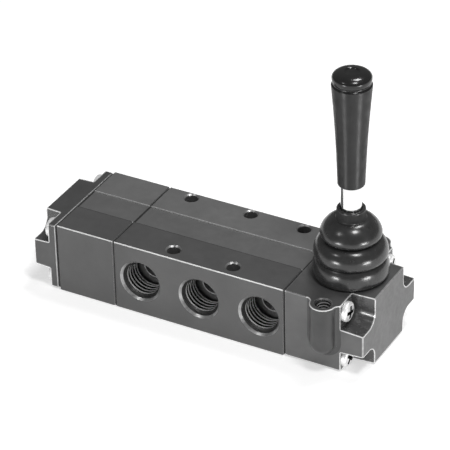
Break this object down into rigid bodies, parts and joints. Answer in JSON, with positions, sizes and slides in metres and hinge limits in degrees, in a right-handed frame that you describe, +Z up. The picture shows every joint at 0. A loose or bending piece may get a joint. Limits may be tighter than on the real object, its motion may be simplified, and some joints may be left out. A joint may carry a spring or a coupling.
{
  "type": "manual air control valve",
  "caption": "Lever-operated spool valve that directs compressed air between a supply port, two working ports and two exhausts, and springs back to its centre.",
  "frame": {"origin": "middle of the flat underside of the valve body", "axes": "+X along the spool towards the lever, +Y away from the face with three ports, +Z up"},
  "size_m": [0.1519, 0.0602, 0.1238],
  "materials": {
    "anodised_block": "dark anodised, satin",
    "coated_casting": "dark coated die casting, satin",
    "gasket_rubber": "matt",
    "zinc_screw": "bright zinc plated",
    "chromed_shaft": "polished chrome",
    "turned_steel": "turned",
    "spring_steel": "drawn wire",
    "turned_brass": "turned",
    "spool_metal": "ground and polished",
    "boot_rubber": "glossy",
    "grip_plastic": "polished phenolic"
  },
  "bodies": {
    "valve": {"valve_body": "anodised_block", "spring_housing": "anodised_block", "end_cap": "coated_casting", "lever_housing": "coated_casting", "end_cap_gasket": "gasket_rubber", "spring_housing_gasket": "gasket_rubber", "lever_housing_gasket": "gasket_rubber", "end_cap_screws": "zinc_screw", "lever_housing_screws": "zinc_screw", "port_cages": "turned_steel", "bore_seals": "gasket_rubber", "end_retainers": "turned_steel", "inner_spring": "spring_steel", "outer_spring": "spring_steel", "spring_seat": "turned_steel", "pivot_pin": "turned_steel", "thrust_washers": "turned_steel", "carrier_ring": "turned_steel", "snap_ring": "spring_steel", "boot": "boot_rubber"},
    "lever": {"lever_shaft": "chromed_shaft", "drive_ball": "turned_steel", "pivot_bush": "turned_brass", "grip": "grip_plastic", "grip_insert": "turned_brass"},
    "spool": {"spool": "spool_metal", "spring_collar": "turned_steel", "collar_nut": "turned_steel"}
  },
  "joints": [
    {"name": "lever_pivot", "type": "hinge", "parent": "valve", "child": "lever", "pos_m": [0.0571, 0, 0.02747], "axis": [0, 1, 0], "range_deg": [-17, 17], "stiffness_Nm_per_rad": 0.73, "deforming": ["boot"]},
    {"name": "spool_slide", "type": "slide", "parent": "valve", "child": "spool", "axis": [1, 0, 0], "range_m": [-0.00345, 0.00345], "deforming": ["inner_spring", "outer_spring"]}
  ],
  "couplings": [
    {"joint": "spool_slide", "follows": "lever_pivot", "m_per_rad": -0.0116}
  ]
}
